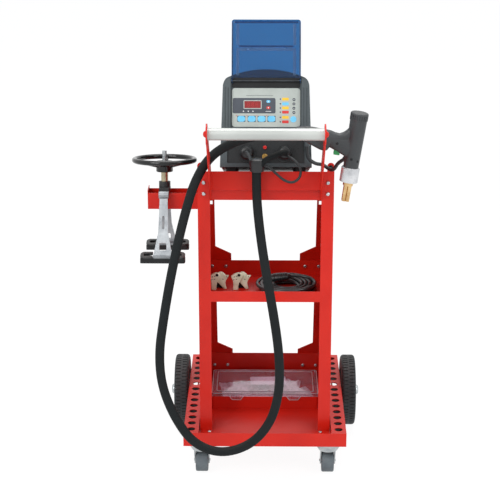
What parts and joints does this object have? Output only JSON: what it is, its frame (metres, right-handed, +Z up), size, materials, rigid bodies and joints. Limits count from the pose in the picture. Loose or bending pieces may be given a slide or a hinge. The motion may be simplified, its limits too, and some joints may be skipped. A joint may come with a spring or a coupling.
{
  "type": "dent pulling welder",
  "caption": "Spot welder for pulling dents, with gun, hose and earth lead, on a red sheet-metal trolley with shelves, tool ledges, handle, puller bracket, rear wheels and swivel casters.",
  "frame": {"origin": "on the floor, in the trolley's plane of symmetry, 320 mm behind the base's front lip", "axes": "+Z up, the front with the control panel faces -Y, +X to the right as seen from the front-facing side"},
  "size_m": [0.7435, 0.876, 1.4482],
  "materials": {
    "red_paint": "semi-gloss powder coat",
    "satin_tube": "satin",
    "zinc": "zinc plated",
    "bolt_steel": "bright",
    "tyre": "matte",
    "rim_plastic": "matte",
    "caster_rubber": "satin",
    "cast_black": "satin black",
    "gloss_black": "gloss",
    "aluminium": "satin",
    "foot_rubber": "matte",
    "case_paint": "fine texture",
    "bezel_plastic": "fine texture",
    "black_plastic": "matte",
    "panel_film": "satin film",
    "display_red": "gloss",
    "cover_blue": "clear gloss",
    "brass": "satin",
    "lamp_red": "clear gloss",
    "gun_plastic": "fine texture",
    "copper": "satin copper",
    "trigger_green": "satin",
    "cord_rubber": "matte",
    "case_red": "satin",
    "lid_clear": "clear gloss",
    "cast_cream": "sand-cast, pale",
    "core_steel": "laminated",
    "board_green": "matte"
  },
  "bodies": {
    "trolley": {"base_tray": "red_paint", "cable_plugs": "black_plastic", "case_base": "case_red", "caster_plates": "zinc", "control_board": "board_green", "control_cable_loop": "cord_rubber", "control_panel": "panel_film", "cover_hinge_pin": "zinc", "display_window": "display_red", "earth_clamps": "cast_cream", "earth_lead_coil": "cord_rubber", "earth_plug": "black_plastic", "frame_bolts": "bolt_steel", "front_bezel": "bezel_plastic", "gun_body": "gun_plastic", "gun_cap": "gun_plastic", "gun_collar": "aluminium", "gun_electrode": "copper", "gun_hose": "cord_rubber", "gun_side_cable": "cord_rubber", "handle_tube": "satin_tube", "left_handle_bracket": "red_paint", "left_side_panel": "red_paint", "left_tool_rail": "red_paint", "lower_back_panel": "red_paint", "mid_shelf": "red_paint", "panel_sockets": "black_plastic", "puller_arm": "red_paint", "puller_feet": "foot_rubber", "puller_front_leg": "aluminium", "puller_head": "cast_black", "puller_rear_leg": "aluminium", "puller_sleeve": "zinc", "rear_axle": "zinc", "rear_panel": "case_paint", "right_handle_bracket": "red_paint", "right_side_panel": "red_paint", "right_tool_rail": "red_paint", "signal_socket": "brass", "socket_plate": "black_plastic", "status_lamp": "lamp_red", "top_platform": "red_paint", "transformer": "core_steel", "underframe_channels": "red_paint", "welder_case": "case_paint", "welder_feet": "foot_rubber"},
    "left_wheel": {"left_tyre": "tyre", "left_rim": "rim_plastic"},
    "right_wheel": {"right_tyre": "tyre", "right_rim": "rim_plastic"},
    "left_swivel": {"left_caster_fork": "zinc"},
    "right_swivel": {"right_caster_fork": "zinc"},
    "left_roller": {"left_caster_wheel": "caster_rubber"},
    "right_roller": {"right_caster_wheel": "caster_rubber"},
    "cover": {"blue_cover": "cover_blue"},
    "handwheel": {"puller_handwheel": "gloss_black"},
    "spindle": {"puller_spindle": "zinc"},
    "trigger": {"gun_trigger": "trigger_green"},
    "switch": {"power_switch": "black_plastic"},
    "organiser_lid": {"case_lid": "lid_clear"}
  },
  "joints": [
    {"name": "left_wheel_roll", "type": "hinge", "parent": "trolley", "child": "left_wheel", "pos_m": [0, 0.132, 0.121], "axis": [1, 0, 0], "continuous": true},
    {"name": "left_caster_swivel", "type": "hinge", "parent": "trolley", "child": "left_swivel", "pos_m": [-0.204, -0.272, 0.1], "axis": [0, 0, 1], "continuous": true},
    {"name": "left_caster_roll", "type": "hinge", "parent": "left_swivel", "child": "left_roller", "pos_m": [-0.204, -0.245, 0.0375], "axis": [1, 0, 0], "continuous": true},
    {"name": "right_wheel_roll", "type": "hinge", "parent": "trolley", "child": "right_wheel", "pos_m": [0, 0.132, 0.121], "axis": [1, 0, 0], "continuous": true},
    {"name": "right_caster_swivel", "type": "hinge", "parent": "trolley", "child": "right_swivel", "pos_m": [0.204, -0.272, 0.1], "axis": [0, 0, 1], "continuous": true},
    {"name": "right_caster_roll", "type": "hinge", "parent": "right_swivel", "child": "right_roller", "pos_m": [0.204, -0.245, 0.0375], "axis": [1, 0, 0], "continuous": true},
    {"name": "cover_hinge", "type": "hinge", "parent": "trolley", "child": "cover", "pos_m": [0, -0.16159, 1.27293], "axis": [1, 0, 0], "range_deg": [0, 180]},
    {"name": "handwheel_turn", "type": "hinge", "parent": "trolley", "child": "handwheel", "pos_m": [-0.317, -0.137, 0.918], "axis": [0, -0.1392, -0.9903], "range_deg": [0, 3600]},
    {"name": "spindle_slide", "type": "slide", "parent": "trolley", "child": "spindle", "axis": [0, 0.1392, 0.9903], "range_m": [0, 0.04]},
    {"name": "trigger_press", "type": "slide", "parent": "trolley", "child": "trigger", "axis": [0.1392, 0, 0.9903], "range_m": [0, 0.004], "stiffness_N_per_m": 400},
    {"name": "switch_rock", "type": "hinge", "parent": "trolley", "child": "switch", "pos_m": [0.07, 0.12497, 1.09991], "axis": [1, 0, 0], "range_deg": [-10, 10]},
    {"name": "organiser_hinge", "type": "hinge", "parent": "trolley", "child": "organiser_lid", "pos_m": [0, 0.1088, 0.19755], "axis": [-1, 0, 0], "range_deg": [0, 70]}
  ],
  "couplings": [
    {"joint": "spindle_slide", "follows": "handwheel_turn", "m_per_rad": 0.00063662}
  ]
}
